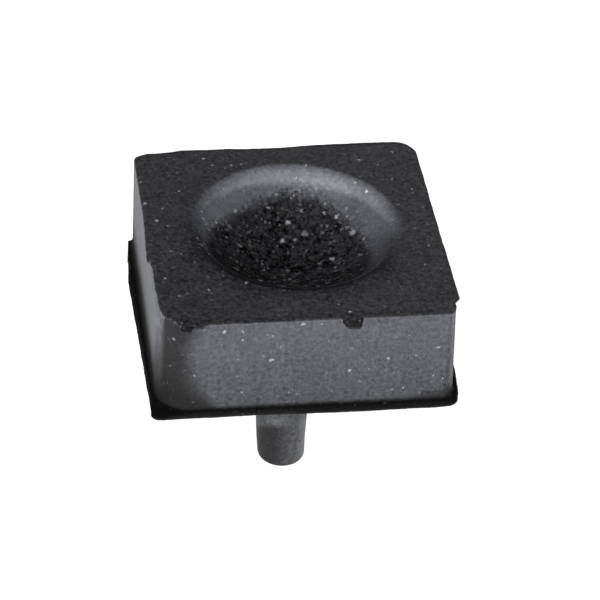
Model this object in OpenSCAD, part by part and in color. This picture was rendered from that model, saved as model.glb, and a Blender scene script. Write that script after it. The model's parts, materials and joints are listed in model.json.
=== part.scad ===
// Square rubber foot, moulded in one piece: a block with a dished tread on top, a thin skirt of flash
// round its seat and a push-in stem below. The origin is on the stem's axis in the plane of the seat,
// +Z points up to the tread and -Y is the front. Lengths are in millimetres.

/* [Block] */
// Side of the square block, from flat to flat
block_side = 20.6; // [18:0.1:32]
// Height of the block, from the seat to the tread
block_h = 7.5; // [5:0.1:14]
// Radius of the four upright corners
corner_r = 2; // [1:0.1:4]

/* [Dish] */
// Diameter of the dish where its sphere would cut the tread, inside the rounded rim
dish_d = 13.9; // [8:0.1:16]
// Depth of the dish at its centre
dish_depth = 3.4; // [1:0.1:4]
// Radius that rounds the rim of the dish
dish_rim_r = 1.5; // [0.1:0.1:2]
// Shift of the dish to the right of the axis, as it came out of the mould
dish_x = 0.3; // [-1:0.1:1]
// Shift of the dish to the back of the axis
dish_y = 0.5; // [-1:0.1:1]

/* [Skirt] */
// Reach of the skirt past the sides of the block
skirt_reach = 0.6; // [0.4:0.05:1.5]
// Thickness of the skirt
skirt_t = 0.3; // [0.15:0.05:1]
// Radius of the skirt's corners
skirt_corner_r = 1.5; // [0.5:0.1:2.5]
// Radius of the hollow fillet between the sides and the skirt
skirt_fillet_r = 0.35; // [0.1:0.05:0.5]

/* [Stem] */
// Diameter of the stem
stem_d = 3.8; // [2.6:0.1:6]
// Length of the stem, from the seat to its tip
stem_len = 13.1; // [10.5:0.1:20]
// Length of the plain grip that fills the panel's hole
grip_len = 8.3; // [4:0.1:11]
// Depth of the ring groove below the grip
groove_depth = 0.2; // [0.05:0.05:0.6]
// Height of the ring groove
groove_h = 0.75; // [0.3:0.05:2]
// Diameter of the tapered tail at its tip
tip_d = 3.5; // [2:0.1:3.8]
// Radius that rounds the edge of the tip
tip_edge_r = 0.4; // [0.1:0.05:1]

/* [Torn flash] */
// Thickness of the flash left on the tread's edge
tag_t = 0.2; // [0.1:0.05:0.5]
// Distance of the front tag to the right of the centre line
front_tag_x = 2.5; // [-6:0.1:6]
// Width of the front tag at the edge
front_tag_w = 1.5; // [0.8:0.1:2.5]
// Width of the front tag at its torn tip
front_tag_tip_w = 0.5; // [0.2:0.1:2.5]
// Reach of the front tag past the edge
front_tag_reach = 1; // [0.4:0.1:1.5]
// Distance of the corner tag from the block's left side
corner_tag_inset = 1.8; // [1.5:0.1:5]
// Width of the corner tag at the edge
corner_tag_w = 0.8; // [0.5:0.1:1.5]
// Width of the corner tag at its torn tip
corner_tag_tip_w = 0.4; // [0.2:0.1:1.5]
// Reach of the corner tag past the edge
corner_tag_reach = 0.7; // [0.3:0.1:1]

/* [Hidden] */
$fn = 96;
// Overlap of joined shapes and overrun of cuts
lap = 0.5;
half_side = block_side / 2;
// Distance from the axis to the centre of an upright corner
corner_at = half_side - corner_r;
skirt_side = block_side + 2 * skirt_reach;
// Sphere of the dish: its radius, and how far its centre lies above the tread
dish_r = (pow(dish_d / 2, 2) + pow(dish_depth, 2)) / (2 * dish_depth);
dish_rise = dish_r - dish_depth;
// Centre of the rim's rounding from the axis, and the point where that rounding meets the sphere
rim_x = sqrt(pow(dish_r + dish_rim_r, 2) - pow(dish_rise + dish_rim_r, 2));
rim_share = dish_r / (dish_r + dish_rim_r);
rim_meet = [rim_x * rim_share, dish_rise - (dish_rise + dish_rim_r) * rim_share];
stem_r = stem_d / 2;
tip_r = tip_d / 2;
groove_end = grip_len + groove_h;
tail_end = stem_len - tip_edge_r;

// Square with round corners, centred on the axis
module round_square(side, r) {
    square([side, side - 2 * r], center = true);
    square([side - 2 * r, side], center = true);
    for (x = [-1, 1], y = [-1, 1])
        translate([x, y] * (side / 2 - r))
            circle(r);
}

// Section of a hollow fillet in the corner between a wall on the left and a floor below
module fillet_section(r) {
    difference() {
        translate([-lap, 0])
            square([r + lap, r]);
        translate([r, r])
            circle(r);
    }
}

// Fillet that runs round the foot of the block's four sides and corners
module skirt_fillet() {
    for (turn = [0:90:270])
        rotate(turn) {
            translate([half_side, corner_at, 0])
                rotate([90, 0, 0])
                    linear_extrude(2 * corner_at)
                        fillet_section(skirt_fillet_r);
            translate([corner_at, corner_at, 0])
                rotate_extrude(angle = 90)
                    translate([corner_r, 0])
                        fillet_section(skirt_fillet_r);
        }
}

// Block standing on its skirt
module block() {
    linear_extrude(block_h)
        round_square(block_side, corner_r);
    linear_extrude(skirt_t)
        round_square(skirt_side, skirt_corner_r);
    translate([0, 0, skirt_t])
        skirt_fillet();
}

// Tag of torn flash level with the tread, which narrows from the front edge out to its tip
module flash_tag(x, width, tip_width, reach) {
    translate([x, -half_side, block_h - tag_t])
        linear_extrude(tag_t)
            polygon([
                [-width / 2, lap],
                [-width / 2, 0],
                [-tip_width / 2, -reach],
                [tip_width / 2, -reach],
                [width / 2, 0],
                [width / 2, lap]
            ]);
}

// Space of the dish: the sphere's cap and the ring that rounds its rim
module dish_space() {
    translate([dish_x, dish_y, block_h]) {
        translate([0, 0, dish_rise])
            sphere(dish_r);
        rotate_extrude()
            difference() {
                polygon([rim_meet, [rim_x, 0], [rim_x, lap], [rim_meet[0], lap]]);
                translate([rim_x, -dish_rim_r])
                    circle(dish_rim_r);
            }
    }
}

// Half section of the stem, drawn with the tip upwards: grip, ring groove, tapered tail and round-edged tip
module stem_section() {
    polygon([
        [0, -lap],
        [stem_r, -lap],
        [stem_r, grip_len],
        [stem_r - groove_depth, grip_len],
        [stem_r, groove_end],
        [tip_r, tail_end],
        [0, tail_end]
    ]);
    square([tip_r - tip_edge_r, stem_len]);
    intersection() {
        translate([tip_r - tip_edge_r, tail_end])
            circle(tip_edge_r);
        square([tip_r, stem_len]);
    }
}

// The whole moulding
module rubber_foot() {
    color([0.13, 0.13, 0.14]) {
        difference() {
            union() {
                block();
                flash_tag(front_tag_x, front_tag_w, front_tag_tip_w, front_tag_reach);
                flash_tag(corner_tag_inset - half_side, corner_tag_w, corner_tag_tip_w, corner_tag_reach);
            }
            dish_space();
        }
        mirror([0, 0, 1])
            rotate_extrude()
                stem_section();
    }
}

rubber_foot();
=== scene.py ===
"""Dresses the moulded rubber foot: a dusty black block with a dished tread, a skirt and a push-in stem.

Lengths in the classes are millimetres in the part's own frame, where the origin is on the stem's axis in
the plane of the seat, +Z points up to the tread and -Y is the front. They turn into metres as a mesh,
light or camera is made.
"""
import json
import logging
import math
from dataclasses import dataclass
from enum import Enum
from functools import cached_property
from typing import Sequence, Union

import bpy
import numpy as np
from mathutils import Matrix, Vector, noise


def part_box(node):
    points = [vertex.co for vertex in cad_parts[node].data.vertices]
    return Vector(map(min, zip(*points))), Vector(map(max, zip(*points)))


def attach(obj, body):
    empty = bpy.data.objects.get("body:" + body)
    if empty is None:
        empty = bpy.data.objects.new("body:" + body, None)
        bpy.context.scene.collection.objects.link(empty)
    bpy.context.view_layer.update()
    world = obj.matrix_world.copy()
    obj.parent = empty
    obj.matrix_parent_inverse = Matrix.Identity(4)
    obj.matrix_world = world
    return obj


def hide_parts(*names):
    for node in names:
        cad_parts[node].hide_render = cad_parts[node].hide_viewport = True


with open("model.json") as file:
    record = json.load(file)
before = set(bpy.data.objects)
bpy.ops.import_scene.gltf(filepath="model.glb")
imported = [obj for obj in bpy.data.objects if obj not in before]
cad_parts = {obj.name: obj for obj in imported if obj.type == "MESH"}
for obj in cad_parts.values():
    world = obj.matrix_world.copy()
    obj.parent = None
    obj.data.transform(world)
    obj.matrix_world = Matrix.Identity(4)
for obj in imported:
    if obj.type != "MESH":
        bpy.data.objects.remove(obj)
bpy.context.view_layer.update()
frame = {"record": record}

log = logging.getLogger("rubber_foot")

MM = 0.001
NODE_NAME = "rubber_foot"
BODY_NAME = "root"
QUARTER_TURN = math.pi / 2.0

Rgb = tuple[float, float, float]
Point = tuple[float, float, float]
Socket = bpy.types.NodeSocket


class Side(Enum):
    """A side of the block, by its quarter turns counter-clockwise from the right."""

    RIGHT = 0
    BACK = 1
    LEFT = 2
    FRONT = 3


class TearShape(Enum):
    """The outline that a scrap of flash was torn to."""

    BOWED = "bowed"
    TONGUE = "tongue"
    SNAPPED = "snapped"
    FEATHERED = "feathered"


# A place on the outline, as a side and a distance past its middle, and how far an edge strays out there
Drift = tuple[Side, float, float]

# A fine unevenness of an edge: its height, the length of its bumps and the seed of its noise
Fray = tuple[float, float, float]

# Radii at the back right, back left, front left and front right
Corners = tuple[float, float, float, float]

# A ripple of the skin: its share of the height, its bumps to the millimetre and where its noise starts
Swell = tuple[float, float, Point]


@dataclass(frozen=True)
class FlashScrap:
    """A scrap of flash on the tread's edge.

    Where its reach is negative it is a chip, and where its width is negative it tears the other way.
    """

    side: Side
    at: float
    width: float
    reach: float
    shape: TearShape

    # Power of the bow's curve, and the shares of a half width or a width over which the others slope
    BOW_POWER = 2.5
    TONGUE_SLOPE = 0.6
    SNAP_SLOPE = 0.4
    FEATHER_DROP = 0.05

    def profile(self, away: np.ndarray) -> np.ndarray:
        """Gives how far the scrap stands out of the edge.

        Args:
            away: Distances from the scrap's middle along the edge, counter-clockwise.

        Returns:
            The reach at each of those distances.
        """
        u = 2.0 * away / self.width
        inside = np.clip(1.0 - np.abs(u), 0.0, 1.0)
        if self.shape is TearShape.BOWED:
            share = 1.0 - np.abs(np.clip(u, -1.0, 1.0)) ** self.BOW_POWER
        elif self.shape is TearShape.TONGUE:
            share = np.sin(np.clip(inside / self.TONGUE_SLOPE, 0.0, 1.0) * QUARTER_TURN)
        elif self.shape is TearShape.SNAPPED:
            step = np.clip(inside / self.SNAP_SLOPE, 0.0, 1.0)
            share = step * step * (3.0 - 2.0 * step)
        else:
            rise = np.clip((u + 1.0) / 2.0, 0.0, 1.0)
            share = rise * np.clip((1.0 - rise) / self.FEATHER_DROP, 0.0, 1.0)
        return self.reach * share


@dataclass(frozen=True)
class Outline:
    """Columns spaced evenly round a square with round corners, so that rings of other sizes match up."""

    half: float
    corner: float
    columns: int

    @property
    def straight(self) -> float:
        """Length of a side between its corners."""
        return 2.0 * (self.half - self.corner)

    @property
    def quarter(self) -> float:
        """Length of a side and the corner after it."""
        return self.straight + QUARTER_TURN * self.corner

    def run(self) -> np.ndarray:
        """Distance of each column along the outline, from the start of the right-hand side."""
        return np.arange(self.columns) * (4.0 * self.quarter / self.columns)

    def split(self) -> tuple[np.ndarray, np.ndarray, np.ndarray]:
        """Sorts the columns into sides and corners.

        Returns:
            Each column's quarter turn, whether it lies on a corner, and its share of that side or corner.
        """
        turn = np.floor(self.run() / self.quarter + 1e-9).astype(int)
        along = self.run() - turn * self.quarter
        on_corner = along > self.straight
        arc = self.quarter - self.straight
        share = np.where(on_corner, (along - self.straight) / arc, along / self.straight)
        return turn, on_corner, share

    @staticmethod
    def turned(points: np.ndarray, turn: np.ndarray) -> np.ndarray:
        """Turns points about the axis.

        Args:
            points: Points as rows of x and y, drawn on the right-hand side.
            turn: Quarter turns of each point.

        Returns:
            The points in their own quarters.
        """
        angle = turn * QUARTER_TURN
        x = points[:, 0] * np.cos(angle) - points[:, 1] * np.sin(angle)
        y = points[:, 0] * np.sin(angle) + points[:, 1] * np.cos(angle)
        return np.stack([x, y], axis=1)

    def points(self, half: float, corners: Corners) -> np.ndarray:
        """Lays the columns on a square of another size.

        Args:
            half: Half the side of that square.
            corners: Its radii.

        Returns:
            A row of x and y for each column.
        """
        turn, on_corner, share = self.split()
        radii = np.asarray(corners, float)
        after = radii[turn]
        before = radii[turn - 1]
        angle = share * QUARTER_TURN
        x = np.where(on_corner, half - after + after * np.cos(angle), half)
        side_y = before - half + share * (2.0 * half - before - after)
        y = np.where(on_corner, half - after + after * np.sin(angle), side_y)
        return self.turned(np.stack([x, y], axis=1), turn)

    def normals(self) -> np.ndarray:
        """Works out the directions straight out of the outline.

        Returns:
            A row of x and y for each column.
        """
        turn, on_corner, share = self.split()
        angle = np.where(on_corner, share, 0.0) * QUARTER_TURN
        return self.turned(np.stack([np.cos(angle), np.sin(angle)], axis=1), turn)

    def place(self, side: Side, at: float) -> float:
        """Distance along the outline of a place that is so far past the middle of a side."""
        return side.value * self.quarter + self.straight / 2.0 + at

    def away(self, side: Side, at: float) -> np.ndarray:
        """Signed distance of each column from such a place, the short way round."""
        whole = 4.0 * self.quarter
        return (self.run() - self.place(side, at) + whole / 2.0) % whole - whole / 2.0


class Skin:
    """A closed mesh that grows ring by ring from one pole to the other."""

    def __init__(self, start: Point) -> None:
        """Starts at a pole.

        Args:
            start: That point.
        """
        self.points: list[np.ndarray] = [np.asarray([start], float)]
        self.faces: list[tuple[int, ...]] = []
        self.first = 0
        self.count = 1

    def add(self, ring: np.ndarray) -> None:
        """Joins the next ring on.

        Args:
            ring: Its points, counter-clockwise seen from above, as many as before, or a whole multiple
                or share of that.
        """
        old, old_count = self.first, self.count
        new = sum(len(part) for part in self.points)
        new_count = len(ring)
        steps = min(old_count, new_count)
        old_step, new_step = old_count // steps, new_count // steps
        if steps == 1:
            steps = max(old_count, new_count)
            old_step = 0 if old_count == 1 else 1
            new_step = 0 if new_count == 1 else 1
        for i in range(steps):
            outer = [new + k % new_count for k in range(i * new_step, (i + 1) * new_step + 1)]
            inner = [old + k % old_count for k in range(i * old_step, (i + 1) * old_step + 1)]
            self.faces.append((*outer, *reversed(inner)))
        self.points.append(np.asarray(ring, float))
        self.first, self.count = new, new_count

    def mesh(self, name: str) -> bpy.types.Mesh:
        """Makes the mesh, in metres and shaded smooth.

        Args:
            name: The mesh's name.

        Returns:
            The new mesh.
        """
        made = bpy.data.meshes.new(name)
        made.from_pydata((np.concatenate(self.points) * MM).tolist(), [], self.faces)
        made.polygons.foreach_set("use_smooth", [True] * len(made.polygons))
        made.validate()
        made.update()
        return made


@dataclass
class FootMoulding:
    """The whole foot as one skin: dished tread, torn flash, walls, skirt, seat and stem."""

    tread_z: float
    stem_r: float
    grip_len: float
    stem_len: float
    skirt_half: float

    half_side: float = 10.3
    corner_r: float = 2.0
    wall_corners: Corners = (1.5, 1.2, 2.4, 1.0)
    wall_gap: float = 0.4
    dish_d: float = 13.9
    dish_depth: float = 3.4
    dish_rim_r: float = 1.5
    dish_at: tuple[float, float] = (0.3, 0.5)
    land_inset: float = 1.0
    edge_r: float = 0.1
    lip_t: float = 0.2
    lip_soft: float = 0.04
    lip_root: float = 0.025
    chip_fade: float = 0.7
    skirt_t: float = 0.3
    skirt_fillet_r: float = 0.35
    least_fillet_r: float = 0.06
    skirt_flat: float = 0.12
    skirt_corners: Corners = (1.6, 3.9, 0.6, 1.1)
    skirt_edge_t: float = 0.1
    skirt_edge_soft: float = 0.03
    seat_insets: tuple[float, float, float] = (0.0, 0.8, 1.2)
    root_flare: float = 0.12
    groove_depth: float = 0.2
    groove_h: float = 0.75
    groove_soft: float = 0.06
    tip_r: float = 1.75
    tip_edge_r: float = 0.4
    tip_lean: float = 0.14
    columns: int = 1280
    dish_share: int = 4
    stem_share: int = 8
    ripple: float = 0.012

    edge_frays: tuple[Fray, ...] = ((0.02, 0.5, 3.0), (0.015, 0.17, 7.0))
    skirt_frays: tuple[Fray, ...] = ((0.03, 0.9, 11.0), (0.018, 0.25, 13.0))
    swells: tuple[Swell, ...] = ((1.0, 0.55, (5.0, 1.0, 9.0)), (0.45, 2.1, (2.0, 8.0, 4.0)))
    scraps: tuple[FlashScrap, ...] = (
        FlashScrap(Side.FRONT, 1.9, 1.42, 0.95, TearShape.TONGUE),
        FlashScrap(Side.FRONT, -8.5, 2.0, 0.22, TearShape.BOWED),
        FlashScrap(Side.FRONT, -8.8, 0.66, 0.5, TearShape.SNAPPED),
        FlashScrap(Side.LEFT, 1.1, 5.0, 0.2, TearShape.FEATHERED),
        FlashScrap(Side.LEFT, 5.2, 2.9, -0.08, TearShape.SNAPPED),
        FlashScrap(Side.LEFT, 7.9, 3.2, -0.12, TearShape.BOWED),
        FlashScrap(Side.RIGHT, -4.0, -8.0, 0.42, TearShape.FEATHERED),
        FlashScrap(Side.BACK, 8.4, 4.4, -0.26, TearShape.BOWED),
        FlashScrap(Side.BACK, 0.5, 5.0, -0.1, TearShape.BOWED),
        FlashScrap(Side.BACK, -6.0, 9.0, 0.12, TearShape.BOWED),
    )
    wall_drift: tuple[Drift, ...] = (
        (Side.RIGHT, -9.5, -0.34),
        (Side.RIGHT, -7.5, -0.36),
        (Side.RIGHT, 0.0, 0.03),
        (Side.RIGHT, 8.0, 0.08),
        (Side.BACK, 0.0, 0.0),
        (Side.FRONT, 8.5, 0.0),
    )
    wall_lean: tuple[Drift, ...] = (
        (Side.RIGHT, -9.5, 0.28),
        (Side.RIGHT, -7.5, 0.28),
        (Side.RIGHT, 0.0, 0.0),
        (Side.FRONT, 8.5, 0.0),
    )
    skirt_drift: tuple[Drift, ...] = (
        (Side.RIGHT, -9.0, -0.32),
        (Side.RIGHT, -6.0, -0.02),
        (Side.RIGHT, 6.0, -0.1),
        (Side.BACK, 0.0, 0.0),
        (Side.LEFT, -8.0, -0.04),
        (Side.LEFT, -6.0, 0.14),
        (Side.LEFT, -2.0, 0.05),
        (Side.LEFT, 8.0, -0.14),
        (Side.FRONT, -8.0, 0.14),
        (Side.FRONT, -3.0, 0.1),
        (Side.FRONT, 2.0, 0.24),
        (Side.FRONT, 8.0, 0.2),
    )

    @classmethod
    def from_frame(cls) -> "FootMoulding":
        """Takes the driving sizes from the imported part.

        Returns:
            The foot in those sizes.
        """
        low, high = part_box(NODE_NAME)
        mounts = {mount["name"]: mount for mount in frame["record"]["mounts"]}
        stem = mounts["stem"]["dims"]
        return cls(
            tread_z=mounts["tread"]["pos_m"][2] / MM,
            stem_r=stem["r_mm"],
            grip_len=stem["length_mm"],
            stem_len=-low.z / MM,
            skirt_half=high.x / MM,
        )

    def __post_init__(self) -> None:
        """Works out the outline that every ring is laid on, and the edges that stray from it."""
        self.outline = Outline(self.half_side, self.corner_r, self.columns)
        self.wall_line = self.outline.points(self.half_side, self.wall_corners)
        self.out = self.outline.normals()
        self.wall = self.strays(self.wall_drift)
        self.wall_foot = self.wall + self.strays(self.wall_lean)
        self.edge = self.wall + self.ragged(self.edge_frays)
        for scrap in self.scraps:
            self.edge = self.edge + scrap.profile(self.outline.away(scrap.side, scrap.at))

    def strays(self, drifts: Sequence[Drift]) -> np.ndarray:
        """Runs a line through the places where an edge strays.

        Args:
            drifts: Those places.

        Returns:
            How far the edge strays out at each column.
        """
        places = sorted((self.outline.place(side, at), out) for side, at, out in drifts)
        at, out = zip(*places)
        return np.interp(self.outline.run(), at, out, period=4.0 * self.outline.quarter)

    def ragged(self, frays: Sequence[Fray]) -> np.ndarray:
        """Adds up the fine unevenness of an edge.

        Args:
            frays: Its parts.

        Returns:
            How far the edge strays out at each column.
        """
        total = np.zeros(self.columns)
        for height, length, seed in frays:
            spots = np.column_stack([self.wall_line / length, np.full(self.columns, seed)])
            total = total + height * np.array([noise.noise(Vector(spot)) for spot in spots])
        return total

    def lift(self, line: np.ndarray, z: float | np.ndarray) -> np.ndarray:
        """Puts a flat line of points at a height, or each at its own."""
        return np.column_stack([line, np.broadcast_to(z, len(line))])

    def round_ring(
        self, radius: float, z: float, share: int, middle: tuple[float, float] = (0.0, 0.0)
    ) -> np.ndarray:
        """Makes a round ring, each of whose columns stands for a share of the outline's."""
        angle = np.arctan2(self.wall_line[::share, 1], self.wall_line[::share, 0])
        return self.lift(radius * np.column_stack([np.cos(angle), np.sin(angle)]) + middle, z)

    def edge_ring(self, offset: float | np.ndarray, z: float | np.ndarray) -> np.ndarray:
        """Makes a ring round the block at a distance out of its walls, the same or one for each column."""
        return self.lift(self.wall_line + self.out * np.reshape(offset, (-1, 1)), z)

    def dish_rings(self) -> list[np.ndarray]:
        """Makes the hollow of the dish and its rounded rim, from the middle out.

        Returns:
            The rings.
        """
        rim_r = self.dish_rim_r
        ball_r = ((self.dish_d / 2.0) ** 2 + self.dish_depth**2) / (2.0 * self.dish_depth)
        rise = ball_r - self.dish_depth
        rim_x = math.sqrt((ball_r + rim_r) ** 2 - (rise + rim_r) ** 2)
        meet = math.asin(rim_x / (ball_r + rim_r))
        line = []
        for tilt in np.linspace(0.0, meet, 30)[1:]:
            line.append((ball_r * math.sin(tilt), ball_r * math.cos(tilt) - rise))
        for tilt in np.linspace(meet, 0.0, 14)[1:]:
            line.append((rim_x - rim_r * math.sin(tilt), rim_r * (1.0 - math.cos(tilt))))
        return [
            self.round_ring(radius, self.tread_z - depth, self.dish_share, self.dish_at)
            for radius, depth in line
        ]

    def land_rings(self, rim: np.ndarray) -> list[np.ndarray]:
        """Makes the flat of the tread, from the dish out to its edge.

        Args:
            rim: The last ring of the dish.

        Returns:
            The rings, of which the last two draw back from the chips.
        """
        border = self.edge_ring(-self.land_inset, self.tread_z)[:: self.dish_share]
        made = [rim + (border - rim) * share for share in (0.04, 0.3, 0.6, 0.85, 1.0)]
        chipped = np.minimum(self.edge, 0.0)
        for share, inset in ((0.6, 0.7), (1.0, 0.3)):
            made.append(self.edge_ring(chipped * share - self.land_inset * inset, self.tread_z))
        return made

    def edge_rings(self) -> list[np.ndarray]:
        """Makes the tread's worn edge with its flash, and the step back in below the flash.

        Returns:
            The rings.
        """
        made = []
        for tilt in np.radians([0.0, 22.5, 45.0, 67.5, 90.0]):
            back = self.edge_r * (1.0 - math.sin(tilt))
            drop = self.edge_r * (1.0 - math.cos(tilt))
            made.append(self.edge_ring(self.edge - back, self.tread_z - drop))
        low = self.tread_z - self.lip_t
        reach = self.edge - self.wall
        soft = self.lip_soft * np.clip(reach / self.lip_t, 0.0, 1.0)
        made.append(self.edge_ring(self.edge - 0.5 * soft, low + self.lip_soft))
        made.append(self.edge_ring(self.edge - 1.5 * soft, low))
        chip = self.chip_fade * np.minimum(reach, 0.0)
        root = np.clip(reach / 4.0, 0.0, self.lip_root)
        made.append(self.edge_ring(self.wall + chip + root, low - 1.25 * self.lip_soft))
        made.append(self.edge_ring(self.wall + chip * self.chip_fade, low - 3.5 * self.lip_soft))
        return made

    def wall_rings(self) -> list[np.ndarray]:
        """Makes the walls, which lean a little from under the flash to the fillet.

        Returns:
            The rings.
        """
        top = self.tread_z - self.lip_t - self.wall_gap
        foot = self.skirt_t + self.skirt_fillet_r + self.wall_gap / 8.0
        made = []
        for share in np.linspace(0.0, 1.0, 11):
            offset = self.wall + (self.wall_foot - self.wall) * share
            made.append(self.edge_ring(offset, top + (foot - top) * share))
        return made

    def skirt_rings(self) -> list[np.ndarray]:
        """Makes the fillet at the foot of the walls and the skirt, which thins out to its uneven edge.

        Returns:
            The rings.
        """
        rim = self.outline.points(self.skirt_half, self.skirt_corners)
        rim = rim + self.out * (self.strays(self.skirt_drift) + self.ragged(self.skirt_frays))[:, None]
        reach = np.sum((rim - self.wall_line) * self.out, axis=1) - self.wall_foot
        fillet = np.clip(reach - self.skirt_flat, self.least_fillet_r, self.skirt_fillet_r)
        made = []
        for tilt in np.linspace(0.0, QUARTER_TURN, 9):
            offset = self.wall_foot + fillet * (1.0 - math.cos(tilt))
            made.append(self.edge_ring(offset, self.skirt_t + fillet * (1.0 - math.sin(tilt))))
        root = self.wall_line + self.out * (self.wall_foot + fillet)[:, None]
        for share in (0.3, 0.6, 0.85, 0.96):
            z = self.skirt_t + (self.skirt_edge_t - self.skirt_t) * share**1.5
            made.append(self.lift(root + (rim - root) * share, z))
        for share in (0.6, 0.25):
            made.append(self.lift(rim, self.skirt_edge_t * share))
        made.append(self.lift(rim - self.out * self.skirt_edge_soft, 0.0))
        return made

    def seat_rings(self) -> list[np.ndarray]:
        """Makes the flat seat under the block, from the skirt in to the stem.

        Returns:
            The rings.
        """
        made = [self.edge_ring(-inset, 0.0) for inset in self.seat_insets]
        made[-1] = made[-1][:: self.stem_share]
        root = self.round_ring(self.stem_r + self.root_flare, 0.0, self.stem_share)
        return made + [made[-1] + (root - made[-1]) * share for share in (0.3, 0.6, 0.9, 1.0)]

    def stem_line(self) -> list[tuple[float, float]]:
        """Draws the stem's half section, from its root to the flat of its tip.

        Returns:
            Pairs of a radius and a depth below the seat.
        """
        groove = self.stem_r - self.groove_depth
        groove_end = self.grip_len + self.groove_h
        tail_end = self.stem_len - self.tip_edge_r
        flare, soft = self.root_flare, self.groove_soft
        line = [(self.stem_r + flare / 4.0, flare / 4.0), (self.stem_r, flare)]
        line += [(self.stem_r, depth) for depth in np.linspace(0.4, self.grip_len - 2.5 * soft, 10)]
        line += [
            (self.stem_r, self.grip_len - soft),
            (self.stem_r - soft / 3.0, self.grip_len - soft / 4.0),
            (groove + soft / 1.2, self.grip_len + soft / 3.0),
            (groove, self.grip_len + soft),
            (groove + soft / 3.0, self.grip_len + 2.5 * soft),
            (self.stem_r - soft / 2.0, groove_end - soft / 0.6),
            (self.stem_r - soft / 15.0, groove_end),
            (self.stem_r - soft / 10.0, groove_end + soft / 0.6),
        ]
        for share in np.linspace(0.06, 1.0, 8):
            radius = self.stem_r + (self.tip_r - self.stem_r) * share
            line.append((radius, groove_end + (tail_end - groove_end) * share))
        for tilt in np.radians(np.linspace(12.0, 90.0, 8)):
            radius = self.tip_r - self.tip_edge_r * (1.0 - math.cos(tilt))
            line.append((radius, tail_end + self.tip_edge_r * math.sin(tilt)))
        flat = self.tip_r - self.tip_edge_r
        return line + [(flat * share, self.stem_len) for share in (0.95, 0.6, 0.25)]

    def stem_rings(self) -> list[np.ndarray]:
        """Makes the stem, whose tail bends a little to the right.

        Returns:
            The rings.
        """
        groove_end = self.grip_len + self.groove_h
        made = []
        for radius, depth in self.stem_line():
            share = max((depth - groove_end) / (self.stem_len - groove_end), 0.0)
            made.append(self.round_ring(radius, -depth, self.stem_share, (self.tip_lean * share**2, 0.0)))
        return made

    def roughen(self, mesh: bpy.types.Mesh) -> None:
        """Gives the skin the slight ripple of a moulding.

        Args:
            mesh: The mesh to change.
        """
        count = len(mesh.vertices)
        spots, normals = np.zeros(3 * count, np.float32), np.zeros(3 * count, np.float32)
        mesh.vertices.foreach_get("co", spots)
        mesh.vertex_normals.foreach_get("vector", normals)
        places = spots.reshape(-1, 3) / MM
        height = np.zeros(count)
        for share, scale, start in self.swells:
            bumps = [noise.noise(Vector(place) * scale + Vector(start)) for place in places]
            height = height + self.ripple * share * np.array(bumps)
        places = places + normals.reshape(-1, 3) * height[:, None]
        mesh.vertices.foreach_set("co", (places * MM).astype(np.float32).ravel())
        mesh.update()

    def build(self) -> bpy.types.Object:
        """Builds the skin and makes it ride on the part's body.

        Returns:
            The foot's object.
        """
        skin = Skin((*self.dish_at, self.tread_z - self.dish_depth))
        dish = self.dish_rings()
        for ring in [
            *dish,
            *self.land_rings(dish[-1]),
            *self.edge_rings(),
            *self.wall_rings(),
            *self.skirt_rings(),
            *self.seat_rings(),
            *self.stem_rings(),
        ]:
            skin.add(ring)
        skin.add(np.array([[self.tip_lean, 0.0, -self.stem_len]]))
        mesh = skin.mesh("foot_moulding")
        self.roughen(mesh)
        piece = bpy.data.objects.new("foot_moulding", mesh)
        bpy.context.scene.collection.objects.link(piece)
        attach(piece, BODY_NAME)
        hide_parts(NODE_NAME)
        return piece

    def dress(self, piece: bpy.types.Object, finish: "RubberFinish") -> None:
        """Gives the skin its finish."""
        piece.data.materials.append(finish.material(self))


# Where a smooth step is 0 and where it is 1
Step = tuple[float, float]

# A noise: its bumps to the unit of length, its octaves and how strong the fine octaves are
Noise = tuple[float, float, float]

# A number, or a number that varies over a surface
Term = Union[float, "Field"]

# A colour, or a colour that varies over a surface
Colour = Union[Rgb, Socket]

# Values, fields or outputs for a node's inputs, by the names or numbers of those inputs
Inputs = dict[Union[str, int], object]


class Field:
    """A number that varies over a surface. Sums and products of fields turn into Math nodes."""

    def __init__(self, bench: "NodeBench", socket: Socket) -> None:
        """Takes the output that gives the number, and the bench that holds its node."""
        self.bench = bench
        self.socket = socket

    def __add__(self, other: Term) -> "Field":
        """Adds a term."""
        return self.bench.math("ADD", self, other)

    def __sub__(self, other: Term) -> "Field":
        """Takes a term away."""
        return self.bench.math("SUBTRACT", self, other)

    def __rsub__(self, other: float) -> "Field":
        """Takes the field away from a number."""
        return self.bench.math("SUBTRACT", other, self)

    def __mul__(self, other: Term) -> "Field":
        """Multiplies by a term."""
        return self.bench.math("MULTIPLY", self, other)

    def __truediv__(self, other: Term) -> "Field":
        """Divides by a term."""
        return self.bench.math("DIVIDE", self, other)

    def __abs__(self) -> "Field":
        """Drops the sign."""
        return self.bench.math("ABSOLUTE", self)

    def larger(self, other: Term) -> "Field":
        """Takes the larger of the field and a term."""
        return self.bench.math("MAXIMUM", self, other)

    def step(self, zero: Term, one: Term) -> "Field":
        """Turns the field into a smooth step.

        Args:
            zero: Where the step is 0.
            one: Where the step is 1, above or below that.

        Returns:
            The step, from 0 to 1.
        """
        inputs = {"Value": self, "From Min": zero, "From Max": one}
        made = self.bench.node("MapRange", inputs, interpolation_type="SMOOTHSTEP")
        return Field(self.bench, made.outputs["Result"])

    def mask(self, span: Step, base: float = 0.0) -> "Field":
        """Makes a smooth step over a span that is counted from a base."""
        return self.step(base + span[0], base + span[1])


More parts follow.
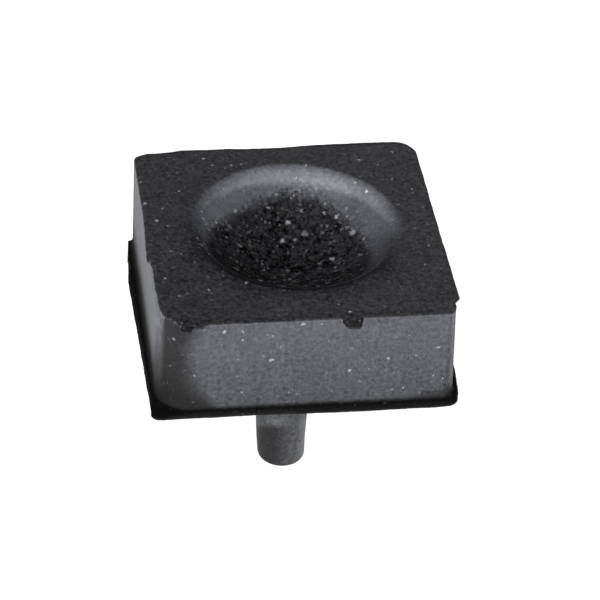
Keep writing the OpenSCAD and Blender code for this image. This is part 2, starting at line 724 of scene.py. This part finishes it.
class NodeBench:
    """Short calls that lay out the nodes of one material."""

    def __init__(self, name: str) -> None:
        """Starts a material without nodes.

        Args:
            name: The material's name.
        """
        self.material = bpy.data.materials.new(name)
        self.material.use_nodes = True
        self.tree = self.material.node_tree
        self.tree.nodes.clear()

    def node(self, kind: str, inputs: Inputs | None = None, **settings: object) -> bpy.types.Node:
        """Adds a node.

        Args:
            kind: Its type, without the leading ShaderNode.
            inputs: What its inputs are linked to or set to.
            settings: Values of its own properties.

        Returns:
            The node.
        """
        made = self.tree.nodes.new("ShaderNode" + kind)
        for name, value in settings.items():
            setattr(made, name, value)
        for key, value in (inputs or {}).items():
            source = value.socket if isinstance(value, Field) else value
            if isinstance(source, bpy.types.NodeSocket):
                self.tree.links.new(source, made.inputs[key])
            else:
                made.inputs[key].default_value = source
        return made

    def shade(self, inputs: Inputs) -> None:
        """Ends the material with a Principled shader that has these inputs."""
        shader = self.node("BsdfPrincipled", inputs)
        self.node("OutputMaterial", {"Surface": shader.outputs["BSDF"]})

    def math(self, operation: str, first: Term, second: Term = 0.0, clamp: bool = False) -> Field:
        """Adds a Math node.

        Args:
            operation: What it works out.
            first: Its first term.
            second: Its second term.
            clamp: Whether the result is kept from 0 to 1.

        Returns:
            Its result.
        """
        made = self.node("Math", {0: first, 1: second}, operation=operation, use_clamp=clamp)
        return Field(self, made.outputs[0])

    def vector_node(self, operation: str, first: object, second: object) -> bpy.types.Node:
        """Adds a Vector Math node, of two vectors or of a vector and the factor of a scaling."""
        key = "Scale" if operation == "SCALE" else 1
        return self.node("VectorMath", {0: first, key: second}, operation=operation)

    def vector(self, operation: str, first: object, second: object) -> Socket:
        """Works out a vector from two vectors, or from a vector and a factor."""
        return self.vector_node(operation, first, second).outputs["Vector"]

    def measure(self, operation: str, first: object, second: object) -> Field:
        """Works out a number from two vectors."""
        return Field(self, self.vector_node(operation, first, second).outputs["Value"])

    def split(self, vector: Socket) -> list[Field]:
        """Splits a vector into its x, y and z."""
        return [Field(self, output) for output in self.node("SeparateXYZ", {0: vector}).outputs]

    def blend(self, share: Term, low: Colour, high: Colour) -> Socket:
        """Mixes two colours.

        Args:
            share: How much of the second there is.
            low: The first colour.
            high: The second colour.

        Returns:
            The mixed colour.
        """
        first, second = ((*colour, 1.0) if isinstance(colour, tuple) else colour for colour in (low, high))
        return self.node("Mix", {0: share, 6: first, 7: second}, data_type="RGBA").outputs[2]

    def noise_node(self, place: Socket, kind: Noise) -> bpy.types.Node:
        """Adds a noise that is read at a place."""
        inputs = dict(zip(("Vector", "Scale", "Detail", "Roughness"), (place, *kind)))
        return self.node("TexNoise", inputs, noise_dimensions="3D")

    def noise(self, place: Socket, kind: Noise) -> Field:
        """Gives a noise as a field from 0 to 1."""
        return Field(self, self.noise_node(place, kind).outputs["Fac"])


def heading(degrees: float) -> Point:
    """Gives the level direction at an angle counter-clockwise from the right."""
    return math.cos(math.radians(degrees)), math.sin(math.radians(degrees)), 0.0


@dataclass
class SkinMap:
    """Fields over the skin that tell the parts of its finish apart.

    Masks run from 0 to 1. A span belongs to the mask of its name, and is counted from the size that the
    mask is made with, or else from 0.
    """

    bench: NodeBench
    moulding: FootMoulding

    grain_noise: Noise = (3.3, 3.0, 0.8)
    mottle_noise: Noise = (0.5, 4.0, 0.55)
    blotch_noise: Noise = (1.8, 2.0, 0.6)
    drawn_noise: Noise = (1.0, 2.0, 0.5)
    drawn_stretch: Point = (3.0, 3.0, 0.35)
    warp_noise: Noise = (5.0, 2.0, 0.5)
    warp_reach: float = 0.4

    up_span: Step = (0.6, 0.9)
    flat_span: Step = (0.9, 0.985)
    left_span: Step = (-0.6, -0.9)
    side_span: Step = (0.45, 0.8)
    front_deg: float = 268.0
    front_span: Step = (-0.25, 0.25)

    dish_r: float = 7.6
    dish_span: Step = (0.1, -0.3)
    dish_height: Step = (-4.6, -4.0)
    peak_deg: float = 78.0
    peak_span: Step = (0.76, 1.0)
    peak_rise: float = 0.85
    climb_deg: float = 198.0
    climb_span: Step = (0.5, 0.95)
    climb_rise: float = 1.2
    pit_fray: float = 1.6
    pit_span: Step = (-0.5, -1.9)
    deep_span: Step = (-1.0, -2.1)
    rim_span: Step = (1.7, 0.0)
    rim_arc: Step = (0.1, -0.6)

    margin_span: Step = (0.9, 0.2)
    torn_span: Step = (-0.22, -0.16)
    torn_reach: Step = (0.05, 0.15)
    torn_top: float = 0.7
    # Where shade is painted on the front left corner
    corner_shade_x: float = -8.25
    corner_shade_fray: float = 1.6
    corner_shade_span: Step = (1.0, -0.9)
    corner_shade_facing: Step = (-0.36, -0.6)
    foot_z: float = 0.12
    foot_h: float = 0.65
    end_span: Step = (-3.5, 0.0)
    end_rise: float = 0.9
    nook_span: Step = (-4.2, -2.0)
    nook_rise: float = 3.8
    left_rise: float = 1.8
    skirt_reach: Step = (0.1, 0.28)
    skirt_span: Step = (0.8, 0.65)

    below_span: Step = (-0.05, -0.2)
    ring_h: float = 0.8
    ring_start: Step = (0.0, -0.06)
    ring_end: Step = (-0.1, 0.0)
    # Where light is painted on the stem: its ring groove, a slanted band and its right side
    ring_light: float = 0.3
    slant_light_z: float = -10.3
    slant_light_slope: float = 0.75
    slant_light_span: Step = (-0.25, 0.25)
    slant_light_share: float = 0.75
    lit_side_span: Step = (-1.0, 1.5)
    stem_edge_span: Step = (0.9, 1.9)

    def __post_init__(self) -> None:
        """Lays out the place, the facing and the noises that the masks are made from."""
        bench = self.bench
        self.point = bench.vector("SCALE", bench.node("TexCoord").outputs["Object"], 1.0 / MM)
        self.x, self.y, self.z = bench.split(self.point)
        self.normal = bench.node("NewGeometry").outputs["Normal"]
        self.out_x, self.out_y, self.out_z = bench.split(self.normal)
        self.grain = bench.noise(self.point, self.grain_noise)
        self.mottle = bench.noise(self.point, self.mottle_noise)
        self.blotch = bench.noise(self.point, self.blotch_noise)
        self.drawn = bench.noise(bench.vector("MULTIPLY", self.point, self.drawn_stretch), self.drawn_noise)
        warp = bench.noise_node(self.point, self.warp_noise).outputs["Color"]
        self.warped = bench.vector("ADD", self.point, bench.vector("SCALE", warp, self.warp_reach))

    @cached_property
    def faces_up(self) -> Field:
        """What faces up."""
        return self.out_z.mask(self.up_span)

    @cached_property
    def upright(self) -> Field:
        """What doesn't face up."""
        return 1.0 - self.faces_up

    @cached_property
    def flat(self) -> Field:
        """What lies flat, face up."""
        return self.out_z.mask(self.flat_span)

    @cached_property
    def faces_side(self) -> Field:
        """What faces left or right."""
        return abs(self.out_x).mask(self.side_span)

    @cached_property
    def faces_front(self) -> Field:
        """What faces the front, which in the dish is its far wall."""
        return self.bench.measure("DOT_PRODUCT", self.normal, heading(self.front_deg)).mask(self.front_span)

    @cached_property
    def dish_middle(self) -> Socket:
        """The point of the dish's axis that is level with the place."""
        inputs = dict(enumerate((*self.moulding.dish_at, self.z)))
        return self.bench.node("CombineXYZ", inputs).outputs[0]

    @cached_property
    def radius(self) -> Field:
        """Distance from the dish's axis."""
        return self.bench.measure("DISTANCE", self.point, self.dish_middle)

    def dish_facing(self, degrees: float) -> Field:
        """Cosine of the angle, seen from the dish's axis, between the place and a heading."""
        spoke = self.bench.vector("SUBTRACT", self.point, self.dish_middle)
        return self.bench.measure("DOT_PRODUCT", spoke, heading(degrees)) / self.radius

    @cached_property
    def above_floor(self) -> Field:
        """What is no lower than the floor of the dish."""
        return self.z.mask(self.dish_height, self.moulding.tread_z)

    @cached_property
    def in_dish(self) -> Field:
        """The dish."""
        return self.radius.mask(self.dish_span, self.dish_r) * self.above_floor

    @cached_property
    def sunk(self) -> Field:
        """Height in the dish, less what its dark floor climbs up the far wall and the left one."""
        peak = self.dish_facing(self.peak_deg).mask(self.peak_span) * self.peak_rise
        climb = self.dish_facing(self.climb_deg).mask(self.climb_span) * self.climb_rise
        return self.z - peak.larger(climb)

    @cached_property
    def in_pit(self) -> Field:
        """The dark floor of the dish, with a frayed edge."""
        frayed = self.mottle * self.pit_fray + self.sunk
        return frayed.mask(self.pit_span, self.moulding.tread_z) * self.in_dish

    @cached_property
    def deep(self) -> Field:
        """The part of the dish that dust gathers in."""
        return self.sunk.mask(self.deep_span, self.moulding.tread_z) * self.in_dish

    @cached_property
    def near_rim(self) -> Field:
        """The near part of the dish's rim and the tread next to it, where shade is painted."""
        ring = self.radius.mask(self.rim_span, self.dish_r) * self.above_floor
        return ring * self.dish_facing(self.peak_deg).mask(self.rim_arc)

    @cached_property
    def margin(self) -> Field:
        """The tread along its front edge."""
        return self.y.mask(self.margin_span, -self.moulding.half_side) * self.faces_up

    @cached_property
    def outermost(self) -> Field:
        """Distance from the middle to the side that the place is nearest to."""
        return abs(self.x).larger(abs(self.y))

    @cached_property
    def torn(self) -> Field:
        """The flash that stands out of the tread's edge, less so on its top."""
        level = self.z.mask(self.torn_span, self.moulding.tread_z)
        proud = self.outermost.mask(self.torn_reach, self.moulding.half_side)
        return level * proud * (1.0 - self.flat * self.torn_top)

    @cached_property
    def painted_corner_shade(self) -> Field:
        """The left end of the front wall, where shade is painted."""
        frayed = (self.mottle - 0.5) * self.corner_shade_fray + self.x
        return frayed.mask(self.corner_shade_span, self.corner_shade_x) * self.out_y.mask(self.corner_shade_facing)

    @cached_property
    def skirt_and_foot_shade(self) -> Field:
        """The near-black skirt, and the painted shade at the foot of the walls, highest at the left and at
        the near left corner.
        """
        half = self.moulding.half_side
        nook = ((self.x + self.y) * -1.0).mask(self.nook_span, 2.0 * half) * (self.mottle + 0.5)
        top = abs(self.x).mask(self.end_span, half) * self.end_rise + (self.foot_z + self.foot_h)
        top = top + nook * self.nook_rise + self.out_x.mask(self.left_span) * self.left_rise
        skirt = self.outermost.mask(self.skirt_reach, half) * self.z.mask(self.skirt_span)
        return self.z.step(top, self.foot_z).larger(skirt) * (1.0 - self.below)

    @cached_property
    def below(self) -> Field:
        """The stem and the seat."""
        return self.z.mask(self.below_span)

    @cached_property
    def painted_stem_light(self) -> Field:
        """The parts of the stem where light is painted: its right side, the ring groove and a slanted band
        on its tail.
        """
        ring_z = -self.moulding.grip_len
        ring = self.z.mask(self.ring_start, ring_z) * self.z.mask(self.ring_end, ring_z - self.ring_h)
        slant_light = (self.y * self.slant_light_slope + self.z).mask(self.slant_light_span, self.slant_light_z)
        lit_stem = self.x.mask(self.lit_side_span)
        return lit_stem.larger(ring * self.ring_light).larger(slant_light * self.slant_light_share)

    @cached_property
    def stem_edge(self) -> Field:
        """The right edge of the stem, where a highlight is painted."""
        return self.x.mask(self.stem_edge_span) * self.below


class DustBed(Enum):
    """Where a kind of dust lies."""

    EVERYWHERE = "everywhere"
    HOLLOW = "hollow"


@dataclass(frozen=True)
class DustLayer:
    """Specks of one kind of dust, one to a cell of a scattered pattern."""

    per_mm: float
    radius: float
    seed: float
    opacity: float
    bed: DustBed

    # How rare large specks are, a speck's solid share, the faintest speck and how the seed moves the cells
    RARITY = 3.4
    CORE = 0.55
    FAINTEST = 0.3
    SEED_MOVE = (1.0, 1.7, 0.6)

    def mask(self, skin: SkinMap) -> Field:
        """Scatters the specks.

        Args:
            skin: The map of the skin that they lie on.

        Returns:
            How much of the dust shows.
        """
        bench = skin.bench
        moved = bench.vector("ADD", skin.warped, tuple(self.seed * share for share in self.SEED_MOVE))
        inputs = {"Vector": moved, "Scale": self.per_mm}
        cells = bench.node("TexVoronoi", inputs, feature="F1", distance="EUCLIDEAN")
        chance = bench.node("SeparateColor", {0: cells.outputs["Color"]})
        size, pale = (Field(bench, output) for output in chance.outputs[:2])
        reach = bench.math("POWER", size, self.RARITY) * (self.radius * self.per_mm)
        specks = Field(bench, cells.outputs["Distance"]).step(reach, reach * self.CORE)
        specks = specks * (pale * (1.0 - self.FAINTEST) + self.FAINTEST) * self.opacity
        return specks * skin.deep if self.bed is DustBed.HOLLOW else specks


@dataclass(frozen=True)
class Speck:
    """A large speck of dust, by its place on the foot and its radius."""

    place: Point
    radius: float

    # The solid share of its radius
    CORE = 0.4

    def mask(self, skin: SkinMap) -> Field:
        """Lays the speck on the skin."""
        away = skin.bench.measure("DISTANCE", skin.warped, self.place)
        return away.step(self.radius, self.radius * self.CORE)


@dataclass(frozen=True)
class RubberFinish:
    """Dull black moulded rubber with a pale film on what faces up, a fine grain and dust."""

    name: str = "black_rubber"
    wall: Rgb = (0.0245, 0.0252, 0.0282)
    # Painted light: walls that face left or right are coloured lighter than the front wall
    painted_light_side_wall: Rgb = (0.0466, 0.0479, 0.0536)
    film: Rgb = (0.0466, 0.0468, 0.0506)
    # The dish: painted light on its far wall, painted shade on its near wall
    hollow: Rgb = (0.0735, 0.0756, 0.0837)
    painted_shade_near_hollow: Rgb = (0.0355, 0.0358, 0.0393)
    pit: Rgb = (0.0450, 0.0452, 0.0495)
    # Bare rubber, also used for the painted shade on the front left corner
    bare_and_corner_shade: Rgb = (0.0045, 0.0045, 0.0049)
    # Painted light on the stem's right side, its ring groove and a slanted band on its tail
    lit_stem: Rgb = (0.0335, 0.0342, 0.0376)
    # Near black, for the skirt and for the painted shade at the foot of the walls
    skirt_and_foot_shade: Rgb = (0.002, 0.002, 0.002)
    dust: Rgb = (0.80, 0.80, 0.83)
    wall_dust: Rgb = (0.25, 0.25, 0.257)

    base_tone: float = 0.8
    top_tone: float = 0.3
    grain_depth: float = 3.3
    pit_grain: float = 4.0
    hollow_calm: float = 1.4
    wall_calm: float = 0.6
    mottle_depth: float = 0.5
    drawn_depth: float = 0.4
    blotch_depth: float = 4.5
    tread_lean: float = 0.012
    # Painted shade on the dish's near rim
    painted_rim_shade: float = 0.33
    margin_shade: float = 0.2
    # A painted highlight on the stem's right edge
    painted_stem_edge_light: float = 1.1
    least_tone: float = 0.1

    gloss: float = 0.12
    ior: float = 1.5
    roughness: float = 0.26
    mottle_rough: float = 0.12
    wall_rough: float = 0.2
    dish_polish: float = 0.16
    skirt_and_foot_rough: float = 0.3
    dust_rough: float = 0.4

    bump_strength: float = 0.5
    bump_h: float = 0.03
    grain_relief: float = 0.7
    dust_relief: float = 0.8

    stem_clean: float = 0.7
    skirt_and_foot_clean: float = 0.9
    dust_layers: tuple[DustLayer, ...] = (
        DustLayer(1.5, 0.18, 3.1, 0.42, DustBed.EVERYWHERE),
        DustLayer(2.6, 0.14, 11.3, 0.13, DustBed.EVERYWHERE),
        DustLayer(1.25, 0.32, 23.9, 1.0, DustBed.HOLLOW),
        DustLayer(3.0, 0.22, 31.7, 0.35, DustBed.HOLLOW),
    )
    specks: tuple[Speck, ...] = (
        Speck((-2.9, 2.6, 4.9), 0.34),
        Speck((-1.6, 0.1, 4.2), 0.25),
        Speck((-1.2, -0.5, 4.2), 0.27),
        Speck((0.6, 4.5, 5.2), 0.25),
        Speck((0.0, 3.1, 4.6), 0.25),
    )

    def rubber(self, skin: SkinMap) -> Socket:
        """Lays the colours of the rubber over each other.

        Args:
            skin: The map of the skin.

        Returns:
            The rubber's colour, without its grain.
        """
        blend = skin.bench.blend
        # Painted light makes the walls that face left or right lighter
        colour = blend(skin.faces_side, self.wall, self.painted_light_side_wall)
        for mask, layer in (
            # Painted shade darkens the front left corner
            (skin.painted_corner_shade, self.bare_and_corner_shade),
            (skin.flat, self.film),
            (skin.torn, self.bare_and_corner_shade),
            # Painted light on the dish's far wall, painted shade on its near wall
            (skin.in_dish, blend(skin.faces_front, self.painted_shade_near_hollow, self.hollow)),
            (skin.in_pit, self.pit),
            # Painted light on the stem's right side, ring groove and slanted band
            (skin.below, blend(skin.painted_stem_light, self.bare_and_corner_shade, self.lit_stem)),
            # The near-black skirt and the painted shade at the foot of the walls
            (skin.skirt_and_foot_shade, self.skirt_and_foot_shade),
        ):
            colour = blend(mask, colour, layer)
        return colour

    def tone(self, skin: SkinMap) -> Field:
        """Works out how light or dark the rubber's grain makes it, with painted shade on the dish's near
        rim and a painted highlight on the stem's right edge.

        Args:
            skin: The map of the skin.

        Returns:
            A factor for its colour.
        """
        coarse = skin.in_pit * self.pit_grain + self.grain_depth
        coarse = coarse - (skin.in_dish - skin.in_pit) * self.hollow_calm - skin.upright * self.wall_calm
        tone = (skin.grain - 0.5) * coarse
        tone = tone + (skin.mottle - 0.5) * self.mottle_depth + (skin.drawn - 0.5) * self.drawn_depth
        tone = tone + skin.z.mask((0.0, skin.moulding.tread_z)) * self.top_tone + self.base_tone
        tone = tone + (skin.blotch - 0.5) * self.blotch_depth * skin.in_pit
        tone = tone + (skin.x + skin.y) * self.tread_lean * skin.faces_up
        # Painted shade darkens the dish's near rim
        tone = tone - skin.near_rim * self.painted_rim_shade - skin.margin * self.margin_shade
        # A painted highlight lightens the stem's right edge
        return (tone + skin.stem_edge * self.painted_stem_edge_light).larger(self.least_tone)

    def dusting(self, skin: SkinMap) -> Field:
        """Scatters the dust, which is thin on the stem and hardly lies on the dark foot of the walls.

        Args:
            skin: The map of the skin.

        Returns:
            How much dust shows.
        """
        first, *others = [kind.mask(skin) for kind in (*self.dust_layers, *self.specks)]
        for other in others:
            first = first.larger(other)
        return first * (1.0 - skin.below * self.stem_clean) * (1.0 - skin.skirt_and_foot_shade * self.skirt_and_foot_clean)

    def rough(self, skin: SkinMap, dusted: Field) -> Field:
        """Works out the roughness.

        Args:
            skin: The map of the skin.
            dusted: How much dust shows.

        Returns:
            The roughness, from 0 to 1.
        """
        rough = skin.mottle * self.mottle_rough + self.roughness + skin.upright * self.wall_rough
        rough = rough - skin.in_dish * self.dish_polish + skin.skirt_and_foot_shade * self.skirt_and_foot_rough
        return skin.bench.math("ADD", rough, dusted * self.dust_rough, clamp=True)

    def material(self, moulding: FootMoulding) -> bpy.types.Material:
        """Lays out the finish.

        Args:
            moulding: The foot that it is for.

        Returns:
            The material.
        """
        bench = NodeBench(self.name)
        skin = SkinMap(bench, moulding)
        dusted = self.dusting(skin)
        rubber = bench.vector("SCALE", self.rubber(skin), self.tone(skin))
        dust = bench.blend(skin.faces_up, self.wall_dust, self.dust)
        relief = skin.grain * self.grain_relief + dusted * self.dust_relief
        bump = {"Strength": self.bump_strength, "Distance": self.bump_h * MM, "Height": relief}
        bench.shade({
            "Base Color": bench.blend(dusted, rubber, dust),
            "Roughness": self.rough(skin, dusted),
            "Normal": bench.node("Bump", bump).outputs["Normal"],
            "IOR": self.ior,
            "Specular IOR Level": self.gloss,
        })
        return bench.material


@dataclass(frozen=True)
class Softbox:
    """A square lamp that looks at the block.

    Its spread is the angle that it fills as the block sees it, and its strength is the light that it throws
    on a sheet that faces it, as a share of what makes a white sheet white.
    """

    name: str
    azimuth_deg: float
    elevation_deg: float
    spread_deg: float
    strength: float
    distance: float = 500.0

    def build(self, aim: Vector) -> bpy.types.Object:
        """Sets the lamp up.

        Args:
            aim: The point that it looks at, in metres.

        Returns:
            The lamp's object.
        """
        elevation = math.radians(self.elevation_deg)
        away = Vector(heading(self.azimuth_deg)) * math.cos(elevation)
        away.z = math.sin(elevation)
        data = bpy.data.lights.new(self.name, "AREA")
        data.shape = "SQUARE"
        data.size = 2.0 * self.distance * MM * math.tan(math.radians(self.spread_deg) / 2.0)
        data.energy = self.strength * (math.pi * self.distance * MM) ** 2
        lamp = bpy.data.objects.new(self.name, data)
        lamp.location = aim + away * (self.distance * MM)
        lamp.rotation_euler = away.to_track_quat("Z", "Y").to_euler()
        bpy.context.scene.collection.objects.link(lamp)
        return lamp


@dataclass(frozen=True)
class FloorFinish:
    """A pale sheet that glows evenly, with a faint unevenness."""

    name: str = "pale_floor"
    dark: Rgb = (0.24, 0.24, 0.24)
    light: Rgb = (0.26, 0.26, 0.26)
    unevenness: Noise = (6.0, 3.0, 0.5)
    roughness: float = 0.9
    glow: float = 0.97

    def material(self) -> bpy.types.Material:
        """Lays out the finish.

        Returns:
            The material.
        """
        bench = NodeBench(self.name)
        uneven = bench.noise(bench.node("TexCoord").outputs["Object"], self.unevenness)
        bench.shade({
            "Base Color": bench.blend(uneven, self.dark, self.light),
            "Roughness": self.roughness,
            "Emission Color": (1.0, 1.0, 1.0, 1.0),
            "Emission Strength": self.glow,
        })
        return bench.material


@dataclass
class Studio:
    """The pale floor under the stem's tip, the dark room and the lamps."""

    floor_z: float
    floor_half: float = 1500.0
    room: Rgb = (0.0, 0.0, 0.0)
    lamp_aim: Point = (0.0, 0.0, 4.0)
    lamps: tuple[Softbox, ...] = (
        Softbox("left_lamp", 206.0, 8.6, 2.6, 1.25),
        Softbox("right_lamp", 296.0, 7.2, 2.6, 1.25),
        Softbox("front_strip", 253.0, 3.6, 1.6, 1.8),
        Softbox("top_lamp_1", 215.0, 47.0, 6.0, 0.13),
        Softbox("top_lamp_2", 245.0, 47.0, 6.0, 0.17),
        Softbox("top_lamp_3", 255.0, 75.0, 30.0, 0.07),
    )

    def build(self) -> bpy.types.Object:
        """Lays the floor, darkens the room and sets up the lamps.

        Returns:
            The floor's object.
        """
        half, z = self.floor_half * MM, self.floor_z * MM
        corners = [(-half, -half, z), (half, -half, z), (half, half, z), (-half, half, z)]
        mesh = bpy.data.meshes.new("floor")
        mesh.from_pydata(corners, [], [(0, 1, 2, 3)])
        floor = bpy.data.objects.new("floor", mesh)
        bpy.context.scene.collection.objects.link(floor)
        world = bpy.data.worlds.new("dark_room")
        world.use_nodes = True
        world.node_tree.nodes["Background"].inputs["Color"].default_value = (*self.room, 1.0)
        bpy.context.scene.world = world
        for lamp in self.lamps:
            lamp.build(Vector(self.lamp_aim) * MM)
        return floor

    def dress(self, floor: bpy.types.Object, finish: FloorFinish) -> None:
        """Gives the floor its finish."""
        floor.data.materials.append(finish.material())


@dataclass(frozen=True)
class PhotoCamera:
    """A long lens at the photograph's angle."""

    aim: Point = (-0.596, -8.015, 7.5)
    left_of_front_deg: float = 10.19
    elevation_deg: float = 37.49
    roll_deg: float = 3.72
    distance: float = 179.38
    near_clip: float = 10.0
    lens: float = 159.36
    sensor: float = 36.0

    def build(self) -> bpy.types.Object:
        """Sets the camera up and makes it the scene's own.

        Returns:
            The camera's object.
        """
        turn, elevation = math.radians(self.left_of_front_deg), math.radians(self.elevation_deg)
        level = math.cos(elevation)
        away = Vector((-math.sin(turn) * level, -math.cos(turn) * level, math.sin(elevation)))
        right = Vector((math.cos(turn), -math.sin(turn), 0.0))
        up = away.cross(right)
        roll = math.radians(self.roll_deg)
        rolled_right = right * math.cos(roll) + up * math.sin(roll)
        rolled_up = up * math.cos(roll) - right * math.sin(roll)
        data = bpy.data.cameras.new("photo_camera")
        data.lens = self.lens
        data.sensor_width = self.sensor
        data.clip_start = self.near_clip * MM
        camera = bpy.data.objects.new("photo_camera", data)
        matrix = Matrix((rolled_right, rolled_up, away)).transposed().to_4x4()
        matrix.translation = (Vector(self.aim) + away * self.distance) * MM
        camera.matrix_world = matrix
        bpy.context.scene.collection.objects.link(camera)
        bpy.context.scene.camera = camera
        return camera


def main() -> None:
    """Builds the foot, its studio and its camera."""
    logging.basicConfig(level=logging.INFO, format="%(name)s: %(message)s")
    bpy.context.scene.view_settings.view_transform = "Standard"
    camera = PhotoCamera().build()
    log.info("camera at %s", [round(v, 4) for v in camera.location])
    moulding = FootMoulding.from_frame()
    foot = moulding.build()
    moulding.dress(foot, RubberFinish())
    log.info("%s: %d faces", foot.name, len(foot.data.polygons))
    # The ripple can lower the stem's tip a little, so the floor lies that much lower
    studio = Studio(floor_z=-moulding.stem_len - 2.0 * moulding.ripple)
    floor = studio.build()
    studio.dress(floor, FloorFinish())
    log.info("%s: stage", floor.name)


if __name__ == "__main__":
    main()
